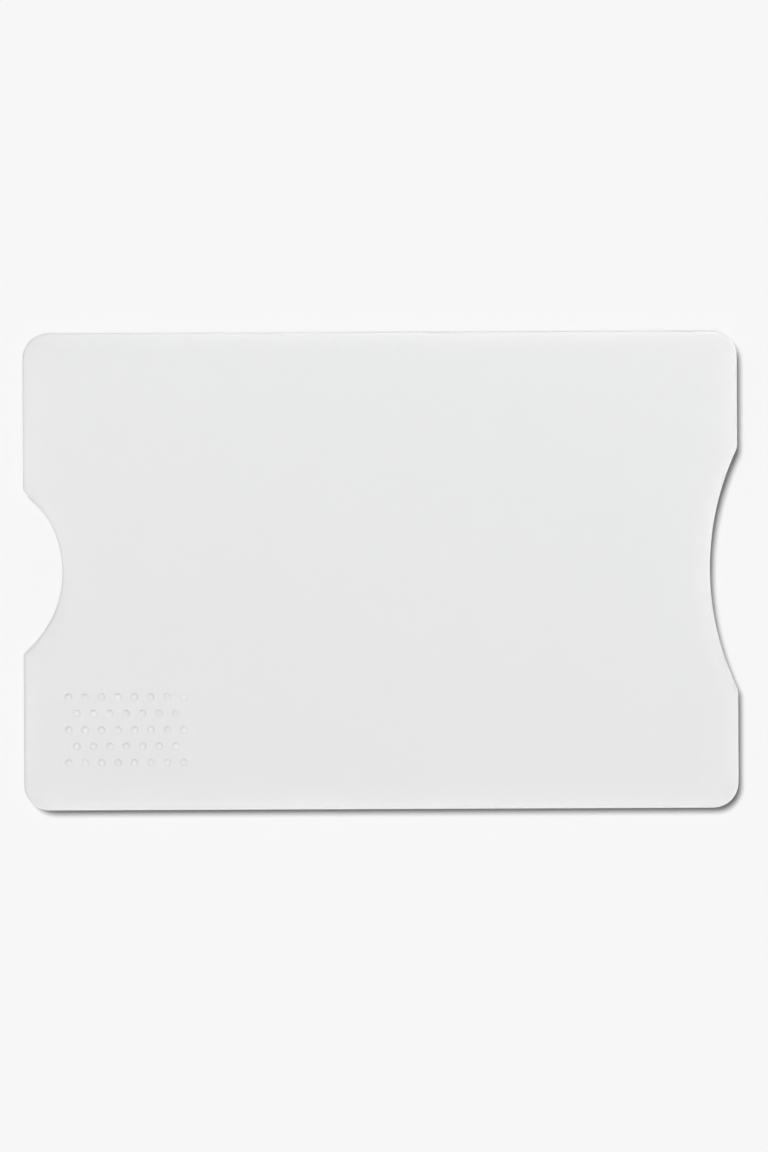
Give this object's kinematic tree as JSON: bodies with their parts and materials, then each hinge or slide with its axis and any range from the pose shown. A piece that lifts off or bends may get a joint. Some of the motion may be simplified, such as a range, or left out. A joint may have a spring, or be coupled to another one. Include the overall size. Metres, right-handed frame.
{
  "type": "plastic card holder",
  "caption": "Rigid white plastic sleeve for a bank-size card, lined with foil, with a thumb notch to push the card out and a wide notch at its open end.",
  "frame": {"origin": "middle of the footprint, on the surface that the holder lies on", "axes": "+X along the length towards the open end where the card comes out, +Y across the width, +Z out of the front face with the grip pips; the back cover lies on z = 0"},
  "size_m": [0.0914, 0.061, 0.0041],
  "materials": {
    "case_plastic": "satin white moulded polystyrene",
    "shield_foil": "bright rolled foil"
  },
  "bodies": {
    "root": {"front_cover": "case_plastic", "back_cover": "case_plastic", "front_shield": "shield_foil", "back_shield": "shield_foil"}
  },
  "joints": []
}
